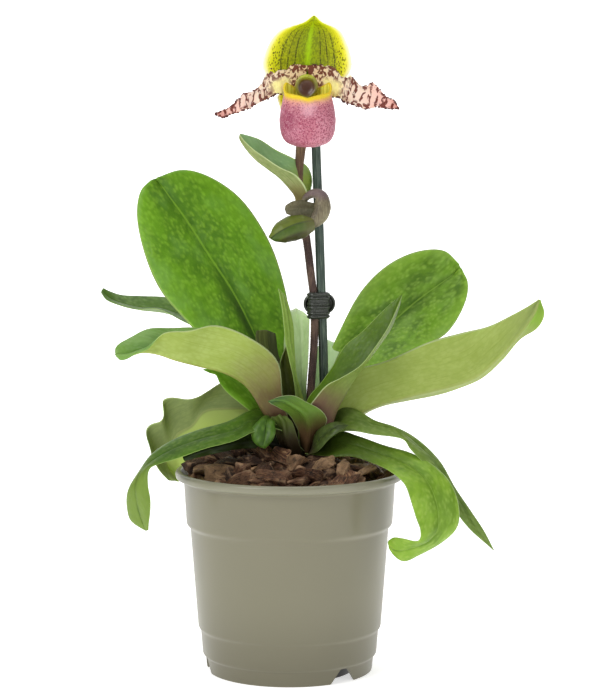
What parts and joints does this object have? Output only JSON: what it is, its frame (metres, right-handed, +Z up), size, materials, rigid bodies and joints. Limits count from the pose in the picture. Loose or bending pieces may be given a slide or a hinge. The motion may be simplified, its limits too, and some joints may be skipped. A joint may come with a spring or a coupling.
{
  "type": "potted slipper orchid",
  "caption": "Slipper orchid in bloom with arching strap leaves, growing in bark in a round tapered nursery pot and clipped to an upright support stake.",
  "frame": {"origin": "on the pot's axis, on the plane of the flat middle of the underside that the pot stands on", "axes": "+Z up along the pot's axis and the flower stalk, -Y the way the flower looks, +X to the right of a viewer who faces the flower"},
  "size_m": [0.2334, 0.1384, 0.343],
  "materials": {
    "pot": "smooth injection-moulded, slightly glossy, grey-green",
    "bark": "dry broken pine bark",
    "crown": "living leaf bases, matt",
    "leaf": "living leaf, waxy, mottled green",
    "dry_stub": "dry cut stem",
    "stalk": "living stem, finely hairy",
    "bract": "living sheath, matt",
    "bud_bract": "living sheath, satin",
    "bud": "living bud, satin",
    "stake": "ribbed plastic cane, dark teal green",
    "clip": "ribbed plastic clip, dark green",
    "sepal": "living sepal, lime green with dark veins",
    "petal": "living petal, cream to pink with maroon blotches",
    "pouch": "living pouch, satin, rose pink with a yellow rim",
    "staminode": "living shield, glossy olive"
  },
  "bodies": {
    "root": {"pot": "pot", "flower_stalk": "stalk", "support_stake": "stake", "crown": "crown", "leaf_young_folded": "leaf", "leaf_strip_centre": "leaf", "leaf_back_left": "leaf", "leaf_back_right": "leaf", "leaf_behind_stalk": "leaf", "leaf_right": "leaf", "leaf_left": "leaf", "leaf_long_right": "leaf", "leaf_front_right": "leaf", "leaf_under_left": "leaf", "leaf_wavy_left": "leaf", "leaf_far_left": "leaf", "leaf_front_left": "leaf", "leaf_front_short": "leaf", "sheath_right": "leaf", "sheath_left": "leaf", "leaf_small_front": "leaf", "old_stalk_stub": "dry_stub", "bark": "bark", "clip": "clip", "ovary": "bract", "flower_bract": "bract", "second_bud": "bud", "second_bud_bract": "bud_bract", "column": "staminode", "pouch": "pouch", "dorsal_sepal": "sepal", "petal_left": "petal", "petal_right": "petal", "lower_sepal": "sepal"}
  },
  "joints": []
}
